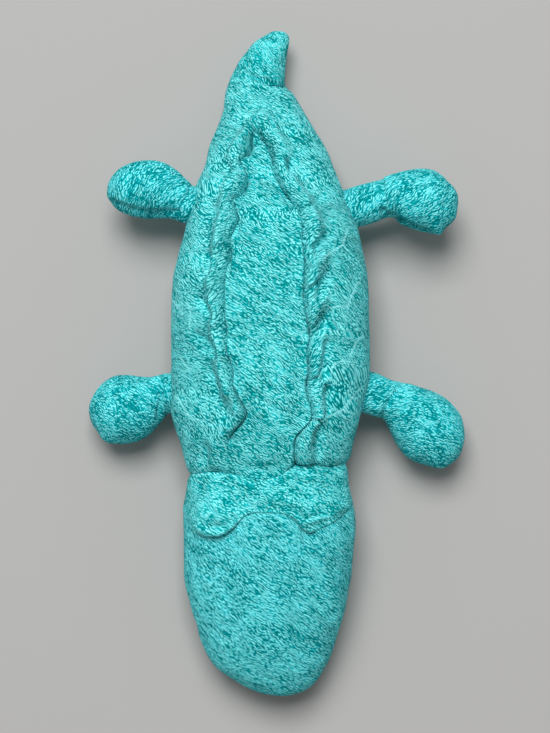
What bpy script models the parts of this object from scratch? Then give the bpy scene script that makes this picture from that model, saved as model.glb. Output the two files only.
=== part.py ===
"""A stuffed knit crocodile that lies on its belly, in metres with +Z up.

The origin is on the flat of the belly. The snout points to -Y, the tail to +Y and the animal's left to +X.
Every stuffed form is a row of hoops along a path: a hoop has a centre, a half width, a half height and a
roundness. Fabric panels are slabs between the form's surface and the same surface one fabric deeper.
"""

import math

import bmesh
import bpy
from mathutils import Matrix, Vector

# Overall sizes
BODY_LENGTH = 0.1824
BODY_WIDTH = 0.0955
BODY_HEIGHT = 0.062
HEAD_LENGTH = 0.0989
HEAD_WIDTH = 0.0826
HEAD_HEIGHT = 0.054
NECK_WIDTH = 0.0785
NECK_HEIGHT = 0.050
NECK_CENTRE_HEIGHT = 0.027
TAIL_REACH = 0.0228
TAIL_CURL = 0.0152
TAIL_WIDTH = 0.0256
TAIL_HEIGHT = 0.0235
TAIL_CENTRE_HEIGHT = 0.0155
TAIL_SETBACK = 0.0020

# Fabric, stuffing and clearances
FABRIC = 0.0015
GAP = 0.0003
PACKING_GAP = 0.0005
JOINT_GAP = 0.0008
FLAT_CUT = 0.0005
STUFFING_RECESS = 0.0020

# Ridges along the back
RIDGE_WIDTH = 0.0068
RIDGE_HEIGHT = 0.0046
RIDGE_PUFF = 0.0012
RIDGE_SWAY = 0.0006
RIDGE_PUFFS = 9
RIDGE_RINGS = 36

# Brow and eyes
BROW_LIFT = 0.0030
LEFT_EYE_WIDTH = 0.0170
RIGHT_EYE_WIDTH = 0.0215
EYE_LENGTH = 0.0160
EYE_HEIGHT = 0.0130

# Where the origin lies along the body, from the neck rim
REST_SHARE = 0.337

# Body hoops from the neck rim to the tail rim. Half width is a share of half the body's width, top and bottom
# are shares of its height, and the shift of the midline is a share of its width.
# (along, half width, top, bottom, midline, roundness)
BODY_HOOP_SHARES = [
    (0.074, 0.890, 0.92, 0.00, -0.010, 2.2),
    (0.179, 0.955, 0.98, 0.00, -0.010, 2.3),
    (0.310, 1.000, 1.00, 0.00, 0.000, 2.3),
    (0.468, 0.995, 1.00, 0.00, 0.000, 2.3),
    (0.600, 0.910, 0.95, 0.00, 0.005, 2.3),
    (0.705, 0.794, 0.86, 0.01, 0.000, 2.3),
    (0.810, 0.628, 0.74, 0.03, -0.005, 2.2),
    (0.903, 0.462, 0.60, 0.06, -0.030, 2.1),
]
TAIL_MIDLINE_SHARE = -0.060
NECK_MIDLINE_SHARE = -0.010

# Head hoops from the neck to the snout's tip, as shares of the head's sizes
HEAD_HOOP_SHARES = [
    (0.110, 0.988, 0.985, 0.00, -0.008, 2.2),
    (0.232, 1.000, 0.985, 0.00, 0.000, 2.3),
    (0.377, 0.977, 0.945, 0.00, -0.005, 2.3),
    (0.546, 0.907, 0.885, 0.00, -0.012, 2.3),
    (0.690, 0.831, 0.810, 0.00, -0.010, 2.3),
    (0.810, 0.715, 0.710, 0.03, 0.000, 2.2),
    (0.908, 0.547, 0.620, 0.09, 0.024, 2.1),
    (0.970, 0.337, 0.530, 0.20, 0.036, 2.0),
    (1.000, 0.000, 0.380, 0.38, 0.040, 2.0),
]

# Tail hoops from its pivot to its tip, as shares of reach, curl, half width and half height
TAIL_HOOP_SHARES = [
    (0.00, 0.00, 1.00, 1.00),
    (0.30, 0.07, 0.90, 0.92),
    (0.57, 0.26, 0.71, 0.78),
    (0.78, 0.52, 0.50, 0.60),
    (0.92, 0.79, 0.30, 0.38),
    (1.00, 1.00, 0.00, 0.00),
]

# Paw profile past the crease of a leg, as shares of the way to its tip and of the paw's radius
PAW_PROFILE_SHARES = [
    (0.20, 0.80),
    (0.42, 1.00),
    (0.64, 0.95),
    (0.84, 0.69),
    (0.955, 0.36),
    (1.00, 0.00),
]
PAW_FLATNESS_SHARE = 0.92
WAIST_SHARE = 0.94

# Back seams, as shares of the body's length and of its half width at that place
LEFT_SEAM_SHARES = [(0.0, 0.33), (0.08, 0.34), (0.17, 0.43), (0.31, 0.40), (0.47, 0.37), (0.60, 0.39),
                    (0.70, 0.37), (0.78, 0.25), (0.83, 0.14), (0.872, 0.0)]
RIGHT_SEAM_SHARES = [(0.0, 0.42), (0.08, 0.38), (0.17, 0.30), (0.31, 0.44), (0.47, 0.46), (0.60, 0.44),
                     (0.70, 0.43), (0.78, 0.40), (0.83, 0.27), (0.872, 0.0)]
RIDGE_SPAN_SHARES = (0.035, 0.862)

# Belly and chin seams, as angles from straight up
BELLY_SEAM_ANGLE = math.radians(118)
CHIN_SEAM_ANGLE = math.radians(101)

# The brow line across the head, as shares of the seam angle and of the head's hoops
BROW_LINE_SHARES = [(-1.0, 0.170), (-0.80, 0.180), (-0.55, 0.185), (-0.37, 0.175), (-0.20, 0.150),
                    (-0.10, 0.115), (0.0, 0.112), (0.10, 0.117), (0.18, 0.145), (0.26, 0.160), (0.34, 0.130),
                    (0.50, 0.090), (0.70, 0.055), (1.0, 0.045)]
LEFT_EYE_SHARES = (0.145, 0.235)
RIGHT_EYE_SHARES = (0.155, -0.370)

# Counts of faces
RINGS_PER_SPAN = 2
BACK_COLUMNS = 4
FLANK_COLUMNS = 6
BELLY_COLUMNS = 7
CROWN_COLUMNS = 14
CHIN_COLUMNS = 9
TUBE_COLUMNS = 12
TAIL_RINGS = 7
LEG_RINGS = 8
DOME_RINGS = 3
NECK_DOME_ANGLE = math.radians(50)
SMALL_DOME_ANGLE = math.radians(55)
CUTTER_COLUMNS = 24
EYE_COLUMNS = 16

# Legs. The root is where the leg leaves the body's side, reach is along the leg's curved middle line, and
# headings are measured from straight out, positive toward the tail.
LEGS = {
    "hind_right": {
        "side": -1,
        "root_share": 0.701,
        "root_height": 0.0285,
        "root_radius": 0.0088,
        "reach": 0.0370,
        "heading": math.radians(27),
        "turn": math.radians(-34),
        "crease_share": 0.12,
        "paw_radius": 0.0145,
        "paw_height": 0.0285,
    },
    "hind_left": {
        "side": 1,
        "root_share": 0.686,
        "root_height": 0.0285,
        "root_radius": 0.0088,
        "reach": 0.0470,
        "heading": math.radians(18),
        "turn": math.radians(-38),
        "crease_share": 0.27,
        "paw_radius": 0.0163,
        "paw_height": 0.0290,
    },
    "front_right": {
        "side": -1,
        "root_share": 0.193,
        "root_height": 0.0255,
        "root_radius": 0.0094,
        "reach": 0.0365,
        "heading": math.radians(-10),
        "turn": math.radians(-32),
        "crease_share": 0.13,
        "paw_radius": 0.0170,
        "paw_height": 0.0182,
    },
    "front_left": {
        "side": 1,
        "root_share": 0.195,
        "root_height": 0.0255,
        "root_radius": 0.0094,
        "reach": 0.0495,
        "heading": math.radians(-15),
        "turn": math.radians(-52),
        "crease_share": 0.27,
        "paw_radius": 0.0176,
        "paw_height": 0.0187,
    },
}
LEG_SWING_ROOM = math.radians(31)

# Colours of the knit and of the stuffing, linear
KNIT_TEAL = (0.060, 0.490, 0.520)
KNIT_SNOUT = (0.054, 0.445, 0.479)
KNIT_PALE = (0.074, 0.644, 0.686)
KNIT_RIDGE = (0.066, 0.540, 0.575)
STUFFING_WHITE = (0.80, 0.79, 0.76)
KNIT_ROUGHNESS = 0.92
STUFFING_ROUGHNESS = 0.98

MERGE_DISTANCE = 0.000002
SLOPE_STEP_SHARE = 0.004


def power(value, exponent):
    return math.copysign(abs(value) ** exponent, value)


def blend_shares(table, place):
    """Smooth curve through a table of (place, value) pairs."""
    if place <= table[0][0]:
        return table[0][1]
    for near, far in zip(table, table[1:]):
        if place <= far[0]:
            part = (place - near[0]) / (far[0] - near[0])
            eased = part * part * (3 - 2 * part)
            mixed = (part + eased) / 2
            return near[1] + (far[1] - near[1]) * mixed
    return table[-1][1]


def smooth_hoop(hoops, station):
    """Catmull-Rom through the hoops' numbers, where whole stations are the hoops themselves."""
    last = len(hoops) - 1
    first = min(int(station), last - 1)
    part = station - first

    def pick(index, item):
        if index < 0:
            return 2 * hoops[0][item] - hoops[1][item]
        if index > last:
            return 2 * hoops[last][item] - hoops[last - 1][item]
        return hoops[index][item]

    values = []
    for item in range(len(hoops[0])):
        before, start, end, after = (pick(first + step, item) for step in (-1, 0, 1, 2))
        start_slope = (end - before) / 2
        end_slope = (after - start) / 2
        rise = end - start
        cubic = start_slope + end_slope - 2 * rise
        square = 3 * rise - 2 * start_slope - end_slope
        values.append(start + part * (start_slope + part * (square + part * cubic)))
    return values


class Form:
    """A stuffed form: hoops of (x, y, z, half width, half height, roundness) along a path."""

    def __init__(self, hoops, straight, domed, floored=False):
        self.hoops = hoops
        self.straight = straight
        self.domed = domed
        self.floored = floored
        self.last = len(hoops) - 1

    def frame(self, station):
        """The hoop at a station, with its direction along the path and the slope of its size."""
        step = SLOPE_STEP_SHARE
        low = max(station - step, 0)
        high = min(station + step, self.last)
        hoop = smooth_hoop(self.hoops, station)
        near = smooth_hoop(self.hoops, low)
        far = smooth_hoop(self.hoops, high)
        ahead = Vector((far[0] - near[0], far[1] - near[1], 0))
        run = ahead.length
        shrink = (near[3] + near[4] - far[3] - far[4]) / 2
        slope = math.atan2(shrink, run)
        if self.domed and station <= 0:
            slope = 0
        ahead.normalize()
        if self.straight:
            ahead = Vector((0, self.straight, 0))
            side = Vector((1, 0, 0))
        else:
            side = Vector((ahead.y, -ahead.x, 0))
        return hoop, ahead, side, slope

    def point(self, station, angle, depth=0):
        """A point on the surface, or under it by depth. Stations below zero run round the root's dome."""
        if station < 0:
            return self.dome_point(-station, angle, depth)
        hoop, ahead, side, slope = self.frame(station)
        x, y, z, half_width, half_height, roundness = hoop
        centre = Vector((x, y, z)) - ahead * (depth * math.sin(slope))
        inward = depth * math.cos(slope)
        across = max(half_width - inward, 0) * power(math.sin(angle), 2 / roundness)
        up = max(half_height - inward, 0) * power(math.cos(angle), 2 / roundness)
        spot = centre + side * across + Vector((0, 0, up))
        if self.floored:
            spot.z = max(spot.z, depth)
        return spot

    def dome_point(self, turn, angle, depth):
        """A point on the dome that closes the root, turned by an angle from the pivot's hoop."""
        hoop, ahead, side, slope = self.frame(0)
        x, y, z, half_width, half_height, roundness = hoop
        back = self.domed - depth
        centre = Vector((x, y, z)) - ahead * (back * math.sin(turn))
        across = (half_width - depth) * math.cos(turn) * math.sin(angle)
        up = (half_height - depth) * math.cos(turn) * math.cos(angle)
        return centre + side * across + Vector((0, 0, up))

    def pivot(self):
        return Vector(self.hoops[0][:3])

    def nudge(self, station, angle, distance):
        """An angle moved along the surface by a distance."""
        step = SLOPE_STEP_SHARE
        width = (self.point(station, angle + step) - self.point(station, angle - step)).length
        return angle + distance * 2 * step / width

    def pace(self, station, angle, distance):
        """A station moved along the surface by a distance."""
        low = max(station - SLOPE_STEP_SHARE, 0)
        high = min(station + SLOPE_STEP_SHARE, self.last)
        length = (self.point(high, angle) - self.point(low, angle)).length
        return station + distance * (high - low) / length


def spread(start, end, count):
    return [start + (end - start) * index / count for index in range(count + 1)]


# Places that join the forms


def rest_y():
    return -REST_SHARE * BODY_LENGTH


def neck_reach():
    """How far the neck's dome stands out of the body, so that its section clears the body's fabric."""
    half = NECK_HEIGHT / 2
    section = half - FABRIC - JOINT_GAP - GAP
    return math.sqrt(half * half - section * section)


def tail_rim_half(half):
    return half + FABRIC + JOINT_GAP


def body_form():
    front = rest_y()
    hoops = [(BODY_WIDTH * NECK_MIDLINE_SHARE, front, NECK_CENTRE_HEIGHT, NECK_WIDTH / 2, NECK_HEIGHT / 2, 2.0)]
    for along, wide, top, bottom, midline, roundness in BODY_HOOP_SHARES:
        high = BODY_HEIGHT * top
        low = BODY_HEIGHT * bottom - FLAT_CUT
        hoops.append((
            BODY_WIDTH * midline,
            front + BODY_LENGTH * along,
            (high + low) / 2,
            BODY_WIDTH / 2 * wide,
            (high - low) / 2,
            roundness,
        ))
    hoops.append((
        BODY_WIDTH * TAIL_MIDLINE_SHARE,
        front + BODY_LENGTH,
        TAIL_CENTRE_HEIGHT,
        tail_rim_half(TAIL_WIDTH / 2),
        tail_rim_half(TAIL_HEIGHT / 2),
        2.0,
    ))
    return Form(hoops, 1, 0, floored=True)


def head_form():
    start = rest_y() - neck_reach()
    shift = BODY_WIDTH * NECK_MIDLINE_SHARE
    hoops = [(shift, start, NECK_CENTRE_HEIGHT, NECK_WIDTH / 2, NECK_HEIGHT / 2, 2.0)]
    for along, wide, top, bottom, midline, roundness in HEAD_HOOP_SHARES:
        high = HEAD_HEIGHT * top
        low = HEAD_HEIGHT * bottom
        if wide > 0:
            low -= FLAT_CUT
        hoops.append((
            HEAD_WIDTH * midline,
            start - HEAD_LENGTH * along,
            (high + low) / 2,
            HEAD_WIDTH / 2 * wide,
            (high - low) / 2,
            roundness,
        ))
    return Form(hoops, -1, NECK_HEIGHT / 2, floored=True)


def tail_form():
    x = BODY_WIDTH * TAIL_MIDLINE_SHARE
    y = rest_y() + BODY_LENGTH + TAIL_SETBACK
    hoops = []
    for reach, curl, wide, tall in TAIL_HOOP_SHARES:
        hoops.append((
            x + TAIL_CURL * curl,
            y + TAIL_REACH * reach,
            TAIL_CENTRE_HEIGHT,
            TAIL_WIDTH / 2 * wide,
            TAIL_HEIGHT / 2 * tall,
            2.0,
        ))
    return Form(hoops, 0, TAIL_WIDTH / 2)


def leg_form(body, leg):
    """A leg whose middle line is an arc in plan, from a pivot just outside the body's side."""
    side = leg["side"]
    station = station_at(body, rest_y() + BODY_LENGTH * leg["root_share"])
    flank = body.point(station, side * math.pi / 2)
    stand_off = leg["root_radius"] * math.sin(LEG_SWING_ROOM)
    start = Vector((flank.x + side * stand_off, flank.y, leg["root_height"]))
    reach = leg["reach"]
    crease = leg["crease_share"]
    profile = [(0.0, leg["root_radius"]), (crease * 0.6, leg["root_radius"] * WAIST_SHARE)]
    profile += [(crease + (1 - crease) * along, leg["paw_radius"] * wide) for along, wide in PAW_PROFILE_SHARES]
    hoops = []
    for along, radius in profile:
        heading = leg["heading"] + leg["turn"] * along / 2
        chord = reach * along
        drop = min(along / (crease + (1 - crease) * PAW_PROFILE_SHARES[1][0]), 1)
        eased = drop * drop * (3 - 2 * drop)
        flatness = 1 + (PAW_FLATNESS_SHARE - 1) * eased
        hoops.append((
            start.x + side * chord * math.cos(heading),
            start.y + chord * math.sin(heading),
            start.z + (leg["paw_height"] - start.z) * eased,
            radius,
            radius * flatness,
            2.0,
        ))
    return Form(hoops, 0, leg["root_radius"])


def station_at(form, y):
    """The station of a straight form whose hoop lies at y."""
    low, high = 0, form.last
    for _ in range(40):
        middle = (low + high) / 2
        if (smooth_hoop(form.hoops, middle)[1] - y) * form.straight < 0:
            low = middle
        else:
            high = middle
    return (low + high) / 2


# Meshes


def add_rows(mesh, rows):
    return [[mesh.verts.new(spot) for spot in row] for row in rows]


def web(mesh, rows, closed=False):
    """Faces between neighbouring rows of vertices, with fewer corners where a row is one vertex."""
    for near, far in zip(rows, rows[1:]):
        count = len(near) if closed else len(near) - 1
        for index in range(count):
            after = (index + 1) % len(near)
            corners = list(dict.fromkeys((near[index], near[after], far[after], far[index])))
            if len(corners) > 2:
                mesh.faces.new(corners)


def pinch(rows, index):
    """Turns a row whose points coincide into one shared vertex."""
    keep = rows[index][0]
    spare = rows[index][1:]
    rows[index] = [keep] * len(rows[index])
    return spare


def slab(outer, inner, closed, pinched):
    """A closed sheet between two grids of points, open at the first row and pinched or open at the last."""
    mesh = bmesh.new()
    tops = add_rows(mesh, outer)
    unders = add_rows(mesh, inner)
    spare = []
    if pinched:
        spare = pinch(tops, -1) + pinch(unders, -1)
    web(mesh, tops, closed)
    web(mesh, unders, closed)
    web(mesh, [tops[0], unders[0]], closed)
    if not pinched:
        web(mesh, [tops[-1], unders[-1]], closed)
    if not closed:
        for column in (0, -1):
            web(mesh, [[row[column] for row in tops], [row[column] for row in unders]])
    bmesh.ops.delete(mesh, geom=spare, context="VERTS")
    return mesh


def core(rows, pinched):
    """A closed solid of stuffing: rings of points with flat or pinched ends."""
    mesh = bmesh.new()
    rings = add_rows(mesh, rows)
    spare = []
    for index in pinched:
        spare += pinch(rings, index)
    web(mesh, rings, closed=True)
    for index in (0, -1):
        if index not in pinched:
            mesh.faces.new(rings[index])
    bmesh.ops.delete(mesh, geom=spare, context="VERTS")
    bmesh.ops.remove_doubles(mesh, verts=mesh.verts, dist=MERGE_DISTANCE)
    return mesh


def ball(centre, half_sizes, columns):
    mesh = bmesh.new()
    placed = Matrix.Translation(centre) @ Matrix.Diagonal((*half_sizes, 1))
    bmesh.ops.create_uvsphere(mesh, u_segments=columns, v_segments=columns // 2, radius=1, matrix=placed)
    return mesh


def material(name, colour, roughness):
    made = bpy.data.materials.new(name)
    made.use_nodes = True
    made.diffuse_color = (*colour, 1)
    shader = made.node_tree.nodes["Principled BSDF"]
    shader.inputs["Base Color"].default_value = (*colour, 1)
    shader.inputs["Roughness"].default_value = roughness
    shader.inputs["Metallic"].default_value = 0
    return made


def place(name, mesh, colour, roughness, carrier):
    """Makes a named object of a mesh, carried by an empty on its joint's axis."""
    bmesh.ops.recalc_face_normals(mesh, faces=mesh.faces)
    bmesh.ops.translate(mesh, verts=mesh.verts, vec=-carrier.location)
    data = bpy.data.meshes.new(name)
    mesh.to_mesh(data)
    mesh.free()
    data.shade_smooth()
    data.set_sharp_from_angle(angle=math.radians(50))
    data.materials.append(material(name, colour, roughness))
    made = bpy.data.objects.new(name, data)
    made.parent = carrier
    bpy.context.collection.objects.link(made)
    return made


def empty(name, spot):
    made = bpy.data.objects.new(name, None)
    made.location = spot
    made.empty_display_size = FABRIC
    bpy.context.collection.objects.link(made)
    return made


def cutter(name, mesh, carrier):
    made = place(name, mesh, STUFFING_WHITE, STUFFING_ROUGHNESS, carrier)
    made.hide_render = True
    made.display_type = "WIRE"
    return made


def cut(target, tool):
    step = target.modifiers.new(tool.name, "BOOLEAN")
    step.operation = "DIFFERENCE"
    step.solver = "EXACT"
    step.object = tool


# The body


def seam_angle(body, station, shares, sign):
    """The angle of a back seam at a station."""
    hoop = smooth_hoop(body.hoops, station)
    along = (hoop[1] - rest_y()) / BODY_LENGTH
    across = blend_shares(shares, along)
    return sign * math.asin(across ** (hoop[5] / 2))


def left_seam(body, station):
    return seam_angle(body, station, LEFT_SEAM_SHARES, 1)


def right_seam(body, station):
    return seam_angle(body, station, RIGHT_SEAM_SHARES, -1)


def body_stations(body):
    apex = station_at(body, rest_y() + BODY_LENGTH * LEFT_SEAM_SHARES[-1][0])
    stations = spread(0, body.last, body.last * RINGS_PER_SPAN)
    nearest = min(range(len(stations)), key=lambda index: abs(stations[index] - apex))
    stations[nearest] = apex
    return stations, nearest


def panel_rows(body, stations, start_of, end_of, columns, depth):
    rows = []
    for station in stations:
        start = body.nudge(station, start_of(station), GAP / 2)
        end = body.nudge(station, end_of(station), -GAP / 2)
        if end < start:
            start = end = (start + end) / 2
        rows.append([body.point(station, angle, depth) for angle in spread(start, end, columns)])
    return rows


def body_ring(body, station, depth):
    """A whole ring whose points follow the panels' columns."""
    left = left_seam(body, station)
    right = right_seam(body, station)
    angles = spread(right, left, BACK_COLUMNS)[:-1]
    angles += spread(left, BELLY_SEAM_ANGLE, FLANK_COLUMNS)[:-1]
    angles += spread(BELLY_SEAM_ANGLE, 2 * math.pi - BELLY_SEAM_ANGLE, BELLY_COLUMNS)[:-1]
    angles += spread(2 * math.pi - BELLY_SEAM_ANGLE, 2 * math.pi + right, FLANK_COLUMNS)[:-1]
    return [body.point(station, angle, depth) for angle in angles]


def make_body(body, carrier, legs):
    stations, apex = body_stations(body)
    full_turn = 2 * math.pi
    panels = {
        "back_panel": (stations[:apex + 1], lambda s: right_seam(body, s), lambda s: left_seam(body, s),
                       BACK_COLUMNS),
        "left_flank": (stations, lambda s: left_seam(body, s), lambda s: BELLY_SEAM_ANGLE, FLANK_COLUMNS),
        "belly_panel": (stations, lambda s: BELLY_SEAM_ANGLE, lambda s: full_turn - BELLY_SEAM_ANGLE,
                        BELLY_COLUMNS),
        "right_flank": (stations, lambda s: -BELLY_SEAM_ANGLE, lambda s: right_seam(body, s), FLANK_COLUMNS),
    }
    made = {}
    for name, (rows_at, start_of, end_of, columns) in panels.items():
        outer = panel_rows(body, rows_at, start_of, end_of, columns, 0)
        inner = panel_rows(body, rows_at, start_of, end_of, columns, FABRIC)
        mesh = slab(outer, inner, closed=False, pinched=name == "back_panel")
        made[name] = place(name, mesh, KNIT_TEAL, KNIT_ROUGHNESS, carrier)
    depth = FABRIC + PACKING_GAP
    front = body.pace(0, math.pi / 2, STUFFING_RECESS)
    rear = body.pace(body.last, math.pi / 2, -STUFFING_RECESS)
    inside = [front] + stations[1:-1] + [rear]
    filling = core([body_ring(body, station, depth) for station in inside], ())
    made["body_stuffing"] = place("body_stuffing", filling, STUFFING_WHITE, STUFFING_ROUGHNESS, carrier)
    for name, leg in legs.items():
        radius = leg.domed + JOINT_GAP
        tool = cutter(name + "_leg_room", ball(leg.pivot(), (radius, radius, radius), CUTTER_COLUMNS), carrier)
        flank = "left_flank" if LEGS[name]["side"] > 0 else "right_flank"
        cut(made[flank], tool)
        cut(made["body_stuffing"], tool)
    return made


def make_ridge(body, carrier, name, seam, sign):
    """A gathered roll of fabric that stands on the body just outside a back seam."""
    start, end = (station_at(body, rest_y() + BODY_LENGTH * share) for share in RIDGE_SPAN_SHARES)
    rows = []
    for index, station in enumerate(spread(start, end, RIDGE_RINGS)):
        part = index / RIDGE_RINGS
        fade = min(1, 4 * math.sqrt(part * (1 - part)))
        wave = abs(math.sin(math.pi * part * RIDGE_PUFFS))
        width = RIDGE_WIDTH * fade - RIDGE_PUFF * (1 - wave) * fade
        height = (RIDGE_HEIGHT - RIDGE_PUFF * (1 - wave)) * fade
        offset = RIDGE_WIDTH / 2 + GAP + RIDGE_SWAY * wave
        middle = body.nudge(station, seam(body, station), sign * offset)
        base = [body.point(station, body.nudge(station, middle, width * side), -GAP)
                for side in (-0.5, 0, 0.5)]
        arch = []
        for turn in spread(0, math.pi, 6)[1:-1]:
            angle = body.nudge(station, middle, width / 2 * math.cos(turn))
            arch.append(body.point(station, angle, -GAP - height * math.sin(turn)))
        rows.append(base + arch)
    mesh = core(rows, ())
    return place(name, mesh, KNIT_RIDGE, KNIT_ROUGHNESS, carrier)


# The head


def brow_station(head, share):
    return blend_shares(BROW_LINE_SHARES, share) * head.last


def crown_lift(head, station, share):
    """How much thicker the crown is than plain fabric, toward its brow."""
    part = min(max(station / brow_station(head, share), 0), 1)
    sides = 1 - share * share
    return BROW_LIFT * part * part * (3 - 2 * part) * sides


def crown_stations(head, share, turns):
    brow = brow_station(head, share)
    return [-turn for turn in turns] + spread(0, brow, 5)


def head_slab(head, name, stations_of, lift_of, columns, pinched, carrier, colour):
    shares = spread(-1, 1, columns)
    angles = {share: head.nudge(1, CHIN_SEAM_ANGLE * share, -GAP / 2 * share) for share in shares}
    count = len(stations_of(0))
    outer, inner = [], []
    for index in range(count):
        outer.append([head.point(stations_of(share)[index], angles[share],
                                 -lift_of(stations_of(share)[index], share)) for share in shares])
        inner.append([head.point(stations_of(share)[index], angles[share], FABRIC) for share in shares])
    mesh = slab(outer, inner, closed=False, pinched=pinched)
    bmesh.ops.translate(mesh, verts=mesh.verts, vec=(0, 0, GAP))
    return place(name, mesh, colour, KNIT_ROUGHNESS, carrier)


def head_rings(head, turns):
    return [-turn for turn in turns] + spread(0, head.last, head.last * RINGS_PER_SPAN)


def head_angles():
    chin = spread(CHIN_SEAM_ANGLE, 2 * math.pi - CHIN_SEAM_ANGLE, CHIN_COLUMNS)
    return spread(-CHIN_SEAM_ANGLE, CHIN_SEAM_ANGLE, CROWN_COLUMNS) + chin[1:-1]


def make_head(head, carrier):
    turns = spread(NECK_DOME_ANGLE, 0, DOME_RINGS)[:-1]
    head_slab(head, "crown_panel", lambda share: crown_stations(head, share, turns),
              lambda station, share: crown_lift(head, station, share), CROWN_COLUMNS, False, carrier,
              KNIT_TEAL)

    def snout_stations(share):
        brow = head.pace(brow_station(head, share), CHIN_SEAM_ANGLE * share, GAP)
        return spread(brow, head.last, (head.last - 1) * RINGS_PER_SPAN)

    head_slab(head, "snout_panel", snout_stations, lambda station, share: 0, CROWN_COLUMNS, True, carrier,
              KNIT_SNOUT)

    chin_angles = spread(head.nudge(1, CHIN_SEAM_ANGLE, GAP / 2),
                         head.nudge(1, 2 * math.pi - CHIN_SEAM_ANGLE, -GAP / 2), CHIN_COLUMNS)
    stations = head_rings(head, turns)
    outer = [[head.point(station, angle) for angle in chin_angles] for station in stations]
    inner = [[head.point(station, angle, FABRIC) for angle in chin_angles] for station in stations]
    place("chin_panel", slab(outer, inner, closed=False, pinched=True), KNIT_SNOUT, KNIT_ROUGHNESS, carrier)

    depth = FABRIC + PACKING_GAP
    whole_dome = spread(math.pi / 2, 0, 2 * DOME_RINGS)[:-1]
    rows = [[head.point(station, angle, depth) for angle in head_angles()]
            for station in head_rings(head, whole_dome)]
    place("head_stuffing", core(rows, (0, -1)), STUFFING_WHITE, STUFFING_ROUGHNESS, carrier)


def head_block(head, carrier):
    """The head's outer shape grown by the gap, which trims the eye bumps."""
    rows = []
    shares = spread(-1, 1, CROWN_COLUMNS)
    chin = spread(CHIN_SEAM_ANGLE, 2 * math.pi - CHIN_SEAM_ANGLE, CHIN_COLUMNS)[1:-1]
    for index in range(6):
        crown = [head.point(crown_stations(head, share, ())[index], CHIN_SEAM_ANGLE * share,
                            -GAP - GAP - crown_lift(head, crown_stations(head, share, ())[index], share))
                 for share in shares]
        station = spread(0, brow_station(head, 1), 5)[index]
        rows.append(crown + [head.point(station, angle, -GAP) for angle in chin])
    steps = (head.last - 1) * RINGS_PER_SPAN
    for index in range(steps + 1):
        top = []
        for share in shares:
            brow = head.pace(brow_station(head, share), CHIN_SEAM_ANGLE * share, GAP + GAP)
            top.append(head.point(spread(brow, head.last, steps)[index], CHIN_SEAM_ANGLE * share, -GAP - GAP))
        station = spread(head.pace(brow_station(head, 1), CHIN_SEAM_ANGLE, GAP + GAP), head.last, steps)[index]
        rows.append(top + [head.point(station, angle, -GAP) for angle in chin])
    return cutter("head_room", core(rows, (-1,)), carrier)


def make_eye(head, name, place_shares, width, carrier, block):
    along, across = place_shares
    spot = head.point(along * head.last, CHIN_SEAM_ANGLE * across)
    mesh = ball(spot, (width / 2, EYE_LENGTH / 2, EYE_HEIGHT / 2), EYE_COLUMNS)
    bump = place(name, mesh, KNIT_TEAL, KNIT_ROUGHNESS, carrier)
    cut(bump, block)


# The tail and the legs


def make_tube(form, name, rings, colour, carrier):
    """A cover that is open inside the body, and its stuffing."""
    angles = spread(0, 2 * math.pi, TUBE_COLUMNS)[:-1]
    stations = spread(0, form.last, rings)

    def rows(turns, depth):
        return [[form.point(station, angle, depth) for angle in angles]
                for station in [-turn for turn in turns] + stations]

    rim = spread(SMALL_DOME_ANGLE, 0, DOME_RINGS)[:-1]
    cover = slab(rows(rim, 0), rows(rim, FABRIC), closed=True, pinched=True)
    place(name + "_cover", cover, colour, KNIT_ROUGHNESS, carrier)
    dome = spread(math.pi / 2, 0, DOME_RINGS + 2)[:-1]
    filling = core(rows(dome, FABRIC + PACKING_GAP), (0, -1))
    place(name + "_stuffing", filling, STUFFING_WHITE, STUFFING_ROUGHNESS, carrier)


def main():
    for old in list(bpy.data.objects):
        bpy.data.objects.remove(old, do_unlink=True)
    body = body_form()
    head = head_form()
    tail = tail_form()
    legs = {name: leg_form(body, leg) for name, leg in LEGS.items()}

    torso = empty("belly_rest", Vector((0, 0, 0)))
    made = make_body(body, torso, legs)
    make_ridge(body, torso, "left_ridge", left_seam, 1)
    make_ridge(body, torso, "right_ridge", right_seam, -1)
    for name, form in (("neck_room", head), ("tail_room", tail)):
        hoop = form.hoops[0]
        sizes = (hoop[3] + JOINT_GAP, form.domed + JOINT_GAP, hoop[4] + JOINT_GAP)
        cut(made["body_stuffing"], cutter(name, ball(form.pivot(), sizes, CUTTER_COLUMNS), torso))

    neck_pivot = empty("neck_pivot", head.pivot())
    make_head(head, neck_pivot)
    block = head_block(head, neck_pivot)
    make_eye(head, "left_eye_bump", LEFT_EYE_SHARES, LEFT_EYE_WIDTH, neck_pivot, block)
    make_eye(head, "right_eye_bump", RIGHT_EYE_SHARES, RIGHT_EYE_WIDTH, neck_pivot, block)

    tail_pivot = empty("tail_pivot", tail.pivot())
    make_tube(tail, "tail", TAIL_RINGS, KNIT_PALE, tail_pivot)
    for name, leg in legs.items():
        pivot = empty(name + "_leg_pivot", leg.pivot())
        make_tube(leg, name + "_leg", LEG_RINGS, KNIT_TEAL, pivot)


main()
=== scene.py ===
"""The dressed plush crocodile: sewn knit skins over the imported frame, in metres with +Z up.

The snout points to -Y, the tail to +Y and the animal's left to +X, which is the photograph's right. Places
on the toy are named by the pixel of the photograph that shows them: across from its left edge, down from its
top edge.
"""

import math

import bmesh
import bpy
import numpy as np
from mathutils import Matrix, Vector
from numpy.linalg import norm


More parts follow.
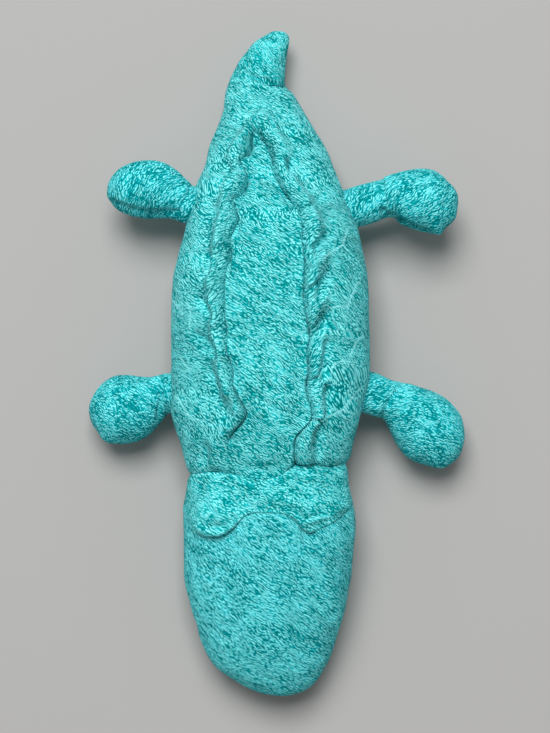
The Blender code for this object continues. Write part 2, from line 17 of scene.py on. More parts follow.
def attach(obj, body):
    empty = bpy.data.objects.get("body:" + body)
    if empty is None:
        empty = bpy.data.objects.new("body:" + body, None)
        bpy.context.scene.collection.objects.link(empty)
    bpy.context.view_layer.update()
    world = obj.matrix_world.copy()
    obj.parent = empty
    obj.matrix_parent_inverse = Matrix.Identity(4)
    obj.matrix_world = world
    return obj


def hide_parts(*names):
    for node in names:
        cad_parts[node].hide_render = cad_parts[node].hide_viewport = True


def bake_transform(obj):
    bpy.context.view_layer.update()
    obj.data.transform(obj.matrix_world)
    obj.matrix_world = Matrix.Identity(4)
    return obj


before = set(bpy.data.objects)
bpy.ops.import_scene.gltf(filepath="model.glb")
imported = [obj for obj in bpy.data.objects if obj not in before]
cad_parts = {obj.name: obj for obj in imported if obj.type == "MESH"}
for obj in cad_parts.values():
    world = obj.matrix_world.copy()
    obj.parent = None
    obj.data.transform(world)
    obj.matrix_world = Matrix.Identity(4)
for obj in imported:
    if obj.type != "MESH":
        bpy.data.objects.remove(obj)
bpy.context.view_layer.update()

# Camera, and how the photograph's pixels lie on the toy
PICTURE = (550, 733)
PIXEL = 0.00048
OUTLINE_HEIGHT = 0.028
CAMERA_DISTANCE = 1.10
VIEW_CENTRE = (0.0024, -0.01272)
SENSOR = 36.0

# Sewing: depths and widths of the seams, the lower seams' angles from straight up, and how rows of stitches
# slant, lean on the ridges and turn on the head
SEAM_DEPTH = 0.0034
SEAM_ROLL = 0.0022
NECK_SEAM_DEPTH = 0.0024
BODY_NECK_ROLL = 0.0042
HEAD_NECK_ROLL = 0.0046
END_ALLOWANCE = 0.005
TAIL_ALLOWANCE = 0.003
BELLY_SEAM = 118
CHIN_SEAM = 101
STITCH_SLANT = 0.62
TAIL_SLANT = 0.35
RIDGE_LEAN = -2.2
CROWN_TURN = -12
SNOUT_TURN = 6

# Light and floor
FLOOR_COLOUR = (0.45, 0.445, 0.435)
KEY_SPOT = (-0.32, 1.55, 3.10)
KEY_AIM = (0, 0, 0.02)
KEY_SIZE = 1.8
KEY_POWER = 123.0
WORLD_COLOUR = (1.0, 1.0, 1.0)
WORLD_STRENGTH = 0.25

# How softly the belly flattens on the floor, and how near points are made one
FLOOR_ROUNDING = 0.0016
WELD_DISTANCE = 0.000004

# The steps of the grids, how many points measure a hoop, and the columns and rows of each skin
FINE = 0.00062
COARSE = 0.00125
HOOP_POINTS = 1441
BACK_GRID = (72, 280)
FLANK_GRID = (112, 320)
BELLY_GRID = (64, 170)
CROWN_GRID = (200, 76)
SNOUT_GRID = (200, 300)
CHIN_GRID = (90, 190)
TAIL_COLUMNS = 110
LEG_COLUMNS = 121

# Lumps of the stuffing: the size of the waves, their height and their seed
STUFFING_WAVES = ((0.030, 0.00045, 3), (0.011, 0.00016, 5))

# Body and tail: down, left edge, right edge, top and bottom height in mm, roundness
BODY_ROWS = [
    (31.4, 277.5, 277.5, 15, 15, 2), (32, 272, 283.5, 17.6, 12.8, 2), (35, 266, 287.6, 20, 10.6, 2),
    (39, 259, 289, 21.6, 9, 2), (45, 251.5, 288.8, 23, 7.8, 2), (52, 246, 288, 24.2, 6.6, 2),
    (60, 239.5, 286.6, 25.3, 5.6, 2), (68, 235, 285.8, 26.4, 4.7, 2), (76, 231.5, 285.2, 27.4, 3.8, 2),
    (84, 228.2, 286, 28.6, 2.9, 2), (92, 225.3, 291.5, 30.4, 2.1, 2), (100, 224.3, 297, 32.2, 1.5, 2.05),
    (109, 223.2, 302.2, 34, 1, 2.1), (120, 220.4, 308.6, 36.4, 0.6, 2.15),
    (134, 214.4, 317, 39.8, 0.2, 2.2), (150, 209, 327, 43.6, 0, 2.2), (166, 205, 333.6, 47.2, 0, 2.25),
    (182, 198, 339.4, 50.4, -0.3, 2.3), (204, 191, 348.6, 54, -0.5, 2.3),
    (228, 185.8, 358.2, 57.4, -0.5, 2.3), (252, 179.2, 363.4, 59.6, -0.5, 2.3),
    (276, 174, 366.8, 61.2, -0.5, 2.3), (304, 171.6, 369, 62, -0.5, 2.3), (334, 171, 369.6, 62, -0.5, 2.3),
    (362, 171, 369.4, 61.8, -0.5, 2.3), (388, 171.4, 367.4, 61, -0.5, 2.3),
    (410, 171.6, 362.6, 59.6, -0.5, 2.3), (430, 176, 357, 57.6, -0.5, 2.25),
    (448, 180.6, 352.6, 55.2, -0.2, 2.2), (462, 185, 348.6, 53.2, 0.4, 2.15),
    (474, 188.6, 346.6, 51.6, 1, 2.1), (486, 190, 346, 50, 1.8, 2.1), (500, 192, 345, 47, 3, 2.1),
]

# Head from the neck to the snout's tip, as for the body
HEAD_ROWS = [
    (446, 190, 345, 48, 3, 2.1), (454, 189.2, 346.6, 49.4, 2, 2.1), (462, 188.5, 347.4, 50.6, 1.2, 2.1),
    (472, 189, 347.4, 51.8, 0.8, 2.1), (484, 187.6, 349.2, 53, 0.2, 2.2),
    (498, 185.2, 352, 53.6, -0.3, 2.25), (514, 184, 355.2, 53.6, -0.5, 2.3),
    (534, 183.6, 355.2, 53, -0.5, 2.3), (556, 183.2, 352.6, 51.8, -0.5, 2.3),
    (578, 184.6, 350.4, 50, -0.5, 2.3), (600, 190, 346.4, 48, -0.5, 2.3), (620, 195, 342, 45.6, -0.4, 2.3),
    (640, 200.2, 336.4, 42.6, 0.2, 2.25), (656, 208.8, 331.4, 39.6, 1.2, 2.2),
    (668, 219.6, 325.4, 36.8, 2.6, 2.15), (678, 232.2, 318.6, 34, 4.6, 2.1), (686, 244, 310, 31.2, 7, 2.05),
    (691, 254.4, 300.6, 28.6, 9.6, 2), (694, 265, 290, 25.6, 12.8, 2), (695, 278, 278, 19.4, 19.4, 2),
]

# Legs: across, down, height in mm, half width in pixels, half height in mm
LEG_ROWS = {
    "hind_left": [
        (339, 212, 27.6, 20, 9), (350, 208.8, 28, 20.4, 9.4), (362, 205, 28.4, 20.6, 9.5),
        (372, 202.2, 28.5, 20, 9.2), (380, 200.2, 28.5, 19.4, 8.8), (386, 198.6, 28.6, 20.2, 9.3),
        (393, 197.2, 28.8, 22.6, 10.6), (401, 197.2, 29, 26.4, 12.4), (411, 198.6, 29, 29.8, 13.9),
        (423, 200.4, 29, 31.2, 14.5), (434, 202.2, 29, 30, 13.9), (444, 203, 29, 25.8, 11.9),
        (452, 203, 29, 18, 8.4), (456.6, 203, 29, 9.4, 4.4), (458, 203, 29, 0, 0),
    ],
    "hind_right": [
        (209, 206, 27.6, 18.4, 8.6), (199, 205.6, 28, 19, 8.9), (191, 204.6, 28.4, 19.4, 9),
        (184, 202.4, 28.5, 19.4, 9), (177, 198.8, 28.5, 21.4, 9.9), (167, 194.4, 28.5, 25.6, 11.8),
        (155, 190.6, 28.5, 28.8, 13.3), (142, 189.6, 28.5, 28.8, 13.3), (130, 190.4, 28.5, 26.2, 12),
        (118.6, 192.2, 28.5, 20.2, 9.3), (110.6, 193.6, 28.5, 11.4, 5.3), (107.2, 194.4, 28.5, 0, 0),
    ],
    "front_left": [
        (349, 387, 25.6, 20.6, 9.4), (359, 390, 25.5, 20.8, 9.5), (369, 393, 25.3, 20.6, 9.5),
        (379, 396.6, 24.8, 20.2, 9.3), (389, 399.4, 23.8, 20.2, 9.2), (398, 403.6, 22.4, 23, 10.6),
        (408, 410.4, 20.8, 28.2, 13), (418.4, 419.4, 19.4, 32.8, 15), (428, 429, 18.8, 34.8, 15.9),
        (436.6, 438.8, 18.7, 32.8, 15), (443.4, 447.4, 18.7, 27.2, 12.5), (448.6, 454.8, 18.7, 18.6, 8.6),
        (451.8, 459.8, 18.7, 9.6, 4.5), (452.8, 461.6, 18.7, 0, 0),
    ],
    "front_right": [
        (187, 392.6, 25.6, 19.6, 9.2), (177, 392.8, 25.5, 19.8, 9.3), (168, 393.4, 25.2, 19.8, 9.2),
        (161, 395, 24.2, 20, 9.2), (154, 397.8, 22.6, 23, 10.6), (145, 401.6, 20.4, 28.6, 13.1),
        (135, 405.6, 18.8, 33, 15.2), (124, 409.6, 18.2, 34.4, 15.8), (113, 413.6, 18.2, 32, 14.7),
        (103.4, 417, 18.2, 26, 12), (96, 419.6, 18.2, 17.6, 8.2), (92.2, 421, 18.2, 9, 4.2),
        (91, 421.4, 18.2, 0, 0),
    ],
}

# How far the rows of stitches turn on each leg, and where its bend starts and ends as rows of its table
LEG_WAYS = {
    "hind_left": (-56, 1, 4), "hind_right": (-28, 1.8, 4.6), "front_left": (-68, 1.4, 4.4),
    "front_right": (33, 1.8, 4.4),
}

# Back seams on the left and right of the picture: down, across, and how deep the crease is as a share
LEFT_SEAM = [
    (128, 259, 0.1), (136, 252, 0.9), (146, 249.5, 1.25), (156, 243, 1.25), (164, 240.5, 0.7),
    (172, 246, 0.7), (180, 245, 1.2), (190, 239.5, 1.2), (200, 233.5, 0.9), (208, 235.5, 0.7),
    (216, 236, 1.2), (226, 232.5, 1.25), (236, 229, 1), (246, 228.5, 0.7), (256, 228, 1), (266, 224.5, 1),
    (280, 223, 1), (316, 223.4, 1), (330, 225, 0.9), (352, 226.6, 0.9), (362, 229, 1), (372, 231.4, 1.1),
    (386, 232.6, 1.1), (397, 238, 0.9), (408, 244, 1.05), (416, 246, 1.15), (424, 241.5, 1.2),
    (432, 234, 1.1), (440, 229, 0.55), (456, 226.5, 0.3), (474, 229, 0.2),
]
RIGHT_SEAM = [
    (128, 259, 0.1), (136, 262.5, 0.8), (146, 270, 1.1), (153, 272.6, 1.25), (166, 273.6, 0.8),
    (174, 276.5, 1.1), (182, 280.5, 1.6), (195, 288.5, 1.8), (207, 298, 1.6), (217, 302.2, 0.85),
    (239, 303.6, 0.85), (256, 305, 0.85), (284, 304.5, 0.9), (306, 305.6, 0.9), (325, 308.3, 0.95),
    (336, 311.4, 1.05), (344, 309.6, 1.05), (352, 308.4, 1), (372, 308.6, 1), (392, 307.6, 1.15),
    (402, 309.6, 1.15), (411, 312, 1.1), (420, 311, 1.1), (431, 301.6, 1.15), (439, 296.6, 1.2),
    (450, 295.6, 1.2), (462, 296.4, 1.2), (470, 299.5, 1),
]

# The neck seam and the brow line: across, down
NECK_SEAM = [
    (184, 473), (190, 474), (202, 472), (213, 470.5), (226, 472.5), (241, 475.5), (253, 479), (262, 480),
    (271, 479), (279, 476.5), (286, 472.5), (292, 467.5), (298, 465), (314, 463.5), (334, 466), (347, 462),
    (352, 461),
]
NECK_DEPTH = [
    (184, 0.4), (205, 0.55), (215, 0.95), (226, 0.65), (245, 0.4), (262, 0.5), (280, 0.5), (292, 0.85),
    (300, 1.15), (318, 0.9), (334, 1), (342, 0.6), (352, 0.4),
]
NECK_UNDER = [(150, 474), (188, 474), (346, 465), (390, 464)]
BROW_LINE = [
    (180, 512), (187, 513), (191.5, 518), (195, 526), (199.5, 532.2), (205, 536), (211.5, 537.8),
    (218, 537.2), (225, 534.6), (231, 531.6), (236, 527.2), (240.5, 520.4), (245, 516.2), (250, 514),
    (260, 512.6), (270, 513), (281, 514), (289, 515.6), (294.4, 519.8), (301, 528), (308, 532),
    (314.3, 531), (322, 528), (329.2, 524.6), (338, 518), (345.8, 511.3), (352, 505), (358, 502),
]

# Where the brow overhangs the snout: the middle across, the width, how square it is, and how far it hangs
BROW_FOLDS = [(214, 20, 4, 1.15), (304, 12, 4, 0.75), (334, 14, 2, 0.16), (262, 26, 4, 0.26)]

# Sculpting strokes: places along the stroke, height in mm, and its width or its left and right ones in pixels
BACK_STROKES = [
    # rolls outside the back seams, on the right of the picture
    ([(264, 118), (270, 130), (279, 143), (286, 156)], 4, 7, 6),
    ([(279, 160), (285, 172), (294, 186), (305, 202)], 4.5, 6, 7),
    ([(309, 208), (313, 221), (316, 234)], 4.7, 7.5, 8.5),
    ([(312, 244), (311, 252), (310, 262)], 2.9, 5, 6),
    ([(322, 256), (315, 268), (311, 282)], 4.7, 7, 9.5),
    ([(321, 292), (316, 306), (312, 324)], 4.7, 7, 9.5),
    ([(320, 334), (318, 352), (314, 372)], 4.5, 7, 8.5),
    ([(319, 378), (317, 396), (318, 414)], 4.3, 7, 8),
    ([(318, 418), (308, 432), (304, 448), (307, 460)], 3.8, 7, 8),
    # rolls on the left of the picture
    ([(257, 118), (249, 131), (240, 144), (233, 158)], 4.7, 5.5, 6),
    ([(243, 160), (236, 174), (229, 190), (225, 204)], 4.7, 6, 7),
    ([(232, 202), (226, 216), (221, 232), (219, 246)], 5.2, 6, 6.5),
    ([(221, 244), (216, 256), (213, 270), (214, 286)], 4.7, 6),
    ([(213, 286), (213, 302), (217, 320)], 4.7, 6, 6.5),
    ([(215, 320), (217, 336), (222, 354)], 4.7, 6, 6.5),
    ([(221, 356), (223, 374), (228, 392)], 4.7, 6, 6.5),
    ([(229, 392), (236, 404), (239, 416), (231, 426)], 5.2, 7, 6),
    ([(224, 428), (216, 444), (216, 462)], 2.5, 9),
    # pockets outside the right ridge
    ([(290, 162), (289, 176)], -2.9, 3.5),
    ([(320, 196), (311, 206)], -1.6, 3.4),
    ([(328, 238), (320, 245), (315, 252)], -5, 4, 5),
    ([(329, 276), (322, 287), (318, 298)], -5, 4, 5),
    ([(330, 313), (322, 323), (318, 334)], -4.8, 4, 5),
    ([(327, 344), (326, 360), (322, 378)], -4.2, 3.8, 4.5),
    ([(329, 388), (329, 406)], -3.2, 4, 4.5),
    ([(320, 424), (318, 440), (319, 456)], -2.1, 4, 5),
    ([(306, 252), (313, 247), (325, 234)], -2.5, 1.7),
    ([(307, 290), (315, 285), (327, 271)], -2.5, 1.7),
    ([(309, 333), (315, 326), (323, 312)], -2.5, 1.7),
    ([(311, 381), (318, 375), (324, 364)], -2.1, 1.7),
    ([(313, 420), (321, 418), (328, 412)], -1.8, 1.7),
    # pockets outside the left ridge
    ([(229, 168), (231, 176)], -1.8, 3),
    ([(209, 256), (210, 274)], -3.4, 3.6),
    ([(199, 299), (207, 310), (213, 319)], -3.2, 4.5, 3.6),
    ([(195, 335), (206, 343), (215, 354)], -5, 4.5, 3.6),
    ([(208, 365), (212, 376), (217, 388)], -2.6, 4.5, 4),
    ([(217, 394), (222, 404), (224, 416)], -2, 4),
    ([(206, 446), (205, 462)], -2.6, 5),
    ([(244, 166), (238, 169), (230, 178)], -2, 1.7),
    ([(236, 205), (230, 206), (224, 212)], -2, 1.7),
    ([(226, 247), (220, 249), (213, 256)], -1.8, 1.7),
    # the back panel sinks beside the ridges
    ([(254, 139), (248, 149), (244, 159)], -4.2, 4),
    ([(250, 173), (244, 185), (238, 197)], -4, 4),
    ([(240, 211), (237, 221), (234, 233)], -3.7, 4),
    ([(231, 240), (228, 262), (226, 285)], -2.1, 3.5),
    ([(232, 360), (235, 374), (236, 390)], -2.1, 4),
    ([(243, 402), (248, 412), (246, 422)], -1.8, 4),
    ([(268, 142), (272, 152)], -1.6, 3.4),
    ([(277, 184), (286, 196), (296, 209)], -2.4, 3),
    # the hollow before the neck
    ([(250, 470), (266, 473), (282, 467)], -2, 8),
    # the apex near the tail
    ([(250, 118), (254, 126), (257, 133)], -1.3, 1.6),
    ([(268, 118), (271, 126), (275, 134)], -1.1, 1.6),
    ([(256, 124), (260, 132), (264, 140)], -2.1, 1.8),
    # the crease at the tail
    ([(252, 74.5), (258, 77), (266, 80), (276, 83), (290, 86)], -3.4, 2.2, 3),
    ([(240, 112), (232, 110), (224, 109)], -0.7, 4),
]
HEAD_STROKES = [
    # the left lobe, its hollow and its rim
    ([(208, 508), (218, 512), (226, 510)], 2.6, 14),
    ([(209, 526.5), (217, 528), (226, 525)], -1.7, 4, 4.5),
    ([(197, 527), (205, 532.5), (215, 533.5), (227, 530.5), (237, 522)], 1, 2.8),
    # the right lobe and the crease over it
    ([(300, 508), (318, 507), (334, 503)], 1.4, 11),
    ([(306, 519.5), (312, 516.5), (320, 514.8), (328, 514.5)], -1.7, 2, 2.2),
    ([(301, 521.5), (308, 521), (316, 519.5), (324, 518)], 0.9, 3.2),
    ([(308, 529), (318, 526)], -0.8, 3.4),
    ([(320, 517), (333, 512), (345, 507)], 1.2, 4),
    # the middle of the crown
    ([(262, 492), (285, 494), (300, 492)], 1.3, 14),
    ([(238, 500), (242, 512)], -1.2, 6),
    ([(256, 510), (272, 507), (290, 511)], -0.9, 7),
    ([(222, 486), (240, 484)], -0.6, 8),
    ([(338, 476), (340, 492)], -0.7, 6),
]
SNOUT_STROKES = [
    ([(243, 534), (262, 524), (290, 524)], 0.7, 12),
    ([(203, 541), (218, 542), (234, 535), (244, 523)], -0.5, 3.5),
    ([(292, 520), (298, 530), (306, 535), (314, 534)], -1.1, 3),
]
LEG_STROKES = {
    "hind_left": [
        ([(381, 176), (383, 190), (384.5, 204), (383.5, 222)], -1.7, 2, 2.6),
        ([(436, 228), (441, 233), (444, 235)], 2, 5),
        ([(455, 214), (453, 222)], 1, 5),
        ([(443, 202), (447, 208)], -1.1, 3.2),
        ([(384, 213), (393, 220), (407, 228), (424, 233)], -3.2, 3.6, 3.2),
    ],
    "hind_right": [
        ([(175, 222), (180, 212), (186, 199), (193, 184)], -1.4, 2, 2.4),
        ([(108, 200), (113, 206)], 0.9, 6),
        ([(113, 203), (128, 211), (150, 215), (176, 213)], -2.6, 4, 3.2),
    ],
    "front_left": [
        ([(380, 424), (386, 408), (394, 394), (406, 380)], -1.7, 2.2, 2.4),
        ([(434, 462), (441, 466), (448, 466)], 1.2, 6),
    ],
    "front_right": [
        ([(158, 420), (159.5, 404), (161, 390), (163, 370)], -1.9, 2.2),
        ([(103, 440), (110, 447), (116, 449)], 2.6, 6),
        ([(167, 372), (168, 392), (167, 414)], -1.2, 2.4),
    ],
}

# Pale stretched rows of stitches on the flanks
THREADS = [
    [(318, 262), (330, 253), (343, 245), (346, 234), (349, 226)],
    [(361, 280), (356, 285), (353, 293), (350, 300), (347, 312)],
    [(325, 313), (330, 308), (338, 306), (350, 307)],
    [(365, 334), (358, 341), (354, 348), (349, 357)],
    [(331, 378), (331.5, 368), (334, 364), (343, 360.5), (350, 362), (355, 370), (357.5, 386)],
    [(325, 418), (334, 414), (344, 409), (354, 397), (365, 385)],
    [(172, 300), (177, 306), (183, 315)],
    [(179, 355), (184, 362), (191, 371)],
    [(174, 392), (182, 405), (191, 418), (206, 421)],
    [(186, 300), (190, 312), (189, 330)],
]

# The middles of the two ridges, and the downs between which each rises and ends
RIDGE_LINES = [
    [(304, 190), (311, 218), (313, 270), (315, 330), (317, 400), (314, 440)],
    [(246, 134), (232, 180), (219, 240), (213, 290), (219, 350), (226, 392)],
]
RIDGE_SPANS = [(180, 270, 350, 440), (134, 220, 300, 392)]


# Places


def scale_at(height):
    """How many pixels a metre takes up at a height."""
    return CAMERA_DISTANCE / (CAMERA_DISTANCE + OUTLINE_HEIGHT - height) / PIXEL


def seen(points):
    """The pixels of the photograph at which points show."""
    scale = scale_at(points[..., 2])
    across = PICTURE[0] / 2 + (points[..., 0] - VIEW_CENTRE[0]) * scale
    down = PICTURE[1] / 2 - (points[..., 1] - VIEW_CENTRE[1]) * scale
    return across, down


def across_at(across, height):
    """The X of what shows at a pixel, at a height."""
    return VIEW_CENTRE[0] + (np.asarray(across) - PICTURE[0] / 2) / scale_at(height)


def down_at(down, height):
    """The Y of what shows at a pixel, at a height."""
    return VIEW_CENTRE[1] - (np.asarray(down) - PICTURE[1] / 2) / scale_at(height)


def ease(value):
    """A soft step from 0 at 0 to 1 at 1."""
    held = np.clip(value, 0, 1)
    return held * held * (3 - 2 * held)


def curve_through(rows, station):
    """Catmull-Rom through rows of numbers, where whole stations are the rows themselves."""
    table = np.array(rows, float)
    padded = np.vstack([2 * table[0] - table[1], table, 2 * table[-1] - table[-2]])
    station = np.asarray(station, float)
    first = np.clip(station.astype(int), 0, len(table) - 2)
    part = (station - first)[..., None]
    before, start, end, after = (padded[first + step] for step in range(4))
    start_slope = (end - before) / 2
    end_slope = (after - start) / 2
    cubic = start_slope + end_slope - 2 * (end - start)
    square = 3 * (end - start) - 2 * start_slope - end_slope
    return start + part * (start_slope + part * (square + part * cubic))


def curve_at(table, place, column=1):
    """A smooth curve through a table whose first column rises, read at places of that column."""
    known = np.array(table, float)
    xs = known[:, 0]
    ys = known[:, column]
    slopes = np.gradient(ys, xs)
    index = np.clip(np.searchsorted(xs, place) - 1, 0, len(xs) - 2)
    step = xs[index + 1] - xs[index]
    part = np.clip((place - xs[index]) / step, 0, 1)
    square, cube = part ** 2, part ** 3
    value = (2 * cube - 3 * square + 1) * ys[index] + (3 * square - 2 * cube) * ys[index + 1]
    return value + step * ((cube - 2 * square + part) * slopes[index] + (cube - square) * slopes[index + 1])


def summed(steps, axis=0):
    """Sums of steps along an axis, from zero."""
    return np.insert(np.cumsum(steps, axis=axis), 0, 0, axis=axis)


def lumps(points, size, seed):
    """A smooth unevenness from -1 to 1 over points, with waves of about one size."""
    chance = np.random.default_rng(seed)
    total = np.zeros(points.shape[:-1])
    count = 9
    for _ in range(count):
        heading = chance.normal(size=3)
        heading /= norm(heading)
        wave = size * chance.uniform(0.7, 1.5)
        total += np.sin(points @ heading * (2 * math.pi / wave) + chance.uniform(0, 2 * math.pi))
    return total / math.sqrt(count * 2)


def stroke_field(across, down, line, height, left, right):
    """The height of a sculpting stroke over pixels, in metres, from its widths left and right of its line."""
    nearest, side, reached = beside(across, down, line)
    width = np.where(side > 0, right, left)
    taper = 0.55 + 0.45 * np.sin(math.pi * np.clip(reached, 0.02, 0.98)) ** 0.5
    return height / 1000 * taper * np.exp(-(nearest / width) ** 2)


def beside(across, down, line):
    """How far pixels lie from a line, on which side, and beside which share of its length."""
    knots = np.array(line, float)
    nearest = np.full(across.shape, 1e9)
    side = np.ones(across.shape)
    reached = np.zeros(across.shape)
    lengths = norm(np.diff(knots, axis=0), axis=1)
    total = lengths.sum()
    passed = 0.0
    for start, end, length in zip(knots, knots[1:], lengths):
        along = end - start
        part = ((across - start[0]) * along[0] + (down - start[1]) * along[1]) / length ** 2
        held = np.clip(part, 0, 1)
        away_x = across - start[0] - held * along[0]
        away_y = down - start[1] - held * along[1]
        gap = np.hypot(away_x, away_y)
        closer = gap < nearest
        nearest = np.where(closer, gap, nearest)
        side = np.where(closer, np.sign(along[0] * away_y - along[1] * away_x), side)
        reached = np.where(closer, (passed + held * length) / total, reached)
        passed += length
    return nearest, side, reached


def sculpt(points, normals, strokes):
    """Moves points along their normals by the strokes, where they face up."""
    across, down = seen(points)
    total = np.zeros(across.shape)
    for line, height, *widths in strokes:
        total += stroke_field(across, down, line, height, widths[0], widths[-1])
    facing = ease((normals[..., 2] + 0.25) / 0.4)
    return points + normals * (total * facing)[..., None]


def thread_marks(points, normals):
    """How many pixels points lie beside the nearest pale row, to either side, and how strongly it shows."""
    across, down = seen(points)
    closest = np.full(across.shape, 9.0)
    marks = np.stack([closest, np.zeros(across.shape)], axis=-1)
    for line in THREADS:
        nearest, side, reached = beside(across, down, line)
        share = ease(reached / 0.12) * ease((1 - reached) / 0.12) * (1 - ease((nearest - 1.6) / 1.4))
        marks = np.where((nearest < closest)[..., None], np.stack([nearest * side, share], axis=-1), marks)
        closest = np.minimum(closest, nearest)
    return marks * np.stack([np.ones(across.shape), ease((normals[..., 2] + 0.1) / 0.3)], axis=-1)


def ridge_share(points):
    """Where a point lies on one of the two gathered ridges."""
    across, down = seen(points)
    share = np.zeros(across.shape)
    for line, span in zip(RIDGE_LINES, RIDGE_SPANS):
        here = stroke_field(across, down, line, 1000 / 0.8, 11.0, 11.0)
        fade = ease((down - span[0]) / (span[1] - span[0])) * ease((span[3] - down) / (span[3] - span[2]))
        share = np.maximum(share, np.clip(here, 0, 1) * fade)
    return share


def grid_normals(points):
    """Normals of a grid whose rows run along and whose columns run round, facing out."""
    along = np.gradient(points, axis=0)
    around = np.gradient(points, axis=1)
    normals = np.cross(along, around)
    sizes = norm(normals, axis=-1, keepdims=True)
    return normals / np.maximum(sizes, 1e-12)


class Form:
    """A stuffed form of hoops that stand across Y, from rows of pixels and heights."""

    def __init__(self, rows):
        self.rows = rows
        self.stations = np.linspace(0, len(rows) - 1, 40 * len(rows))
        numbers = curve_through(rows, self.stations)
        self.downs = np.maximum.accumulate(numbers[:, 0])
        y = down_at(self.downs, (numbers[:, 3] + numbers[:, 4]) / 2000)
        size = (numbers[:, 2] - numbers[:, 1] + numbers[:, 3] * 2 - numbers[:, 4] * 2) * PIXEL / 4
        self.path = summed(np.hypot(np.diff(y), np.diff(size)))

    def hoops(self, step, first=None, last=None):
        """Hoops a step apart between two downs."""
        low = 0 if first is None else np.interp(first, self.downs, self.path)
        high = self.path[-1] if last is None else np.interp(last, self.downs, self.path)
        count = max(int(round((high - low) / step)), 4)
        stations = np.interp(np.linspace(low, high, count + 1), self.path, self.stations)
        return Hoops(self.rows, stations)


class Hoops:
    """Closed rings of points, each measured by its length round from the top, positive toward +X."""

    def __init__(self, rows, station):
        down, left, right, top, bottom, roundness = curve_through(rows, station).T
        middle = (top + bottom) / 2000
        left_x = across_at(left, middle)
        right_x = across_at(right, middle)
        wide = np.maximum((right_x - left_x) / 2, 0)[:, None]
        tall = np.maximum((top - bottom) / 2000, 0)[:, None]
        self.turn = np.linspace(-math.pi, math.pi, HOOP_POINTS)
        power = (2 / roundness)[:, None]
        sine, cosine = np.sin(self.turn)[None], np.cos(self.turn)[None]
        self.x = ((left_x + right_x) / 2)[:, None] + wide * np.sign(sine) * np.abs(sine) ** power
        z = middle[:, None] + tall * np.sign(cosine) * np.abs(cosine) ** power
        self.z = (z + np.sqrt(z * z + FLOOR_ROUNDING ** 2)) / 2 - FLOOR_ROUNDING * 0.22
        self.y = down_at(down, middle)
        lengths = np.hypot(np.diff(self.x, axis=1), np.diff(self.z, axis=1))
        self.round = summed(lengths, 1)
        top = HOOP_POINTS // 2
        self.round -= self.round[:, [top]]
        self.whole = self.round[:, -1] - self.round[:, 0]
        self.shown = seen(np.stack([self.x[:, top], self.y, self.z[:, top]], axis=-1))[1]

    def at_turn(self, degrees):
        """The length round each hoop of an angle from straight up."""
        return np.array([np.interp(math.radians(degrees), self.turn, row) for row in self.round])

    def at_across(self, across):
        """The length round each hoop of what shows at a pixel across, on its upper half."""
        upper = np.abs(self.turn) <= math.pi / 2
        found = []
        for x, y, z, row, wanted in zip(self.x, self.y, self.z, self.round, across):
            points = np.stack([x[upper], np.full(upper.sum(), y), z[upper]], axis=-1)
            found.append(np.interp(wanted, seen(points)[0], row[upper]))
        return np.array(found)

    def lay(self, lengths):
        """A grid of points at lengths round the hoops, one row for each hoop."""
        rows = []
        for x, y, z, row, whole, wanted in zip(self.x, self.y, self.z, self.round, self.whole, lengths):
            held = wanted if whole <= 0 else (wanted - row[0]) % whole + row[0]
            held = np.where(np.isclose(wanted, row[-1]), row[-1], held)
            level = np.full(len(wanted), y)
            rows.append(np.stack([np.interp(held, row, x), level, np.interp(held, row, z)], axis=-1))
        return np.array(rows)


def spans(start, end, count, crowd_start=0.0, crowd_end=0.0):
    """Lengths from start to end of each hoop, closer together near an end that is crowded."""
    even = np.linspace(0, 1, count)
    bend = even - crowd_start * even * (1 - even) ** 2 + crowd_end * even ** 2 * (1 - even)
    return start[:, None] + (end - start)[:, None] * bend[None]


def line_rows(grid, line, ahead=0.0):
    """The row of each column, with its fraction, at which it crosses a line of (across, down)."""
    across, down = seen(grid)
    past = np.maximum.accumulate(down - curve_at(line, across) + ahead, axis=0)
    return np.array([np.interp(0, column, np.arange(len(column))) for column in past.T])


def between_rows(grids, start, end, count):
    """Grids read at evenly spaced rows between a first and a last row that differ by column."""
    share = np.linspace(0, 1, count)[:, None]
    place = start[None] + (end - start)[None] * share
    low = np.clip(place.astype(int), 0, len(grids[0]) - 2)
    part = place - low
    column = np.arange(grids[0].shape[1])[None]
    out = []
    for grid in grids:
        weight = part[..., None] if grid.ndim == 3 else part
        out.append(grid[low, column] * (1 - weight) + grid[low + 1, column] * weight)
    return out


def fallen(grid):
    """How far along the cloth each point lies, as a Y that falls by the true length of its column."""
    lengths = norm(np.diff(grid, axis=0), axis=-1)
    return grid[:1, :, 1] - summed(lengths)


def middled(steps):
    """Sums of steps along each row, zero in the middle of what the row adds up to."""
    total = summed(steps, 1)
    return total - total[:, -1:] / 2


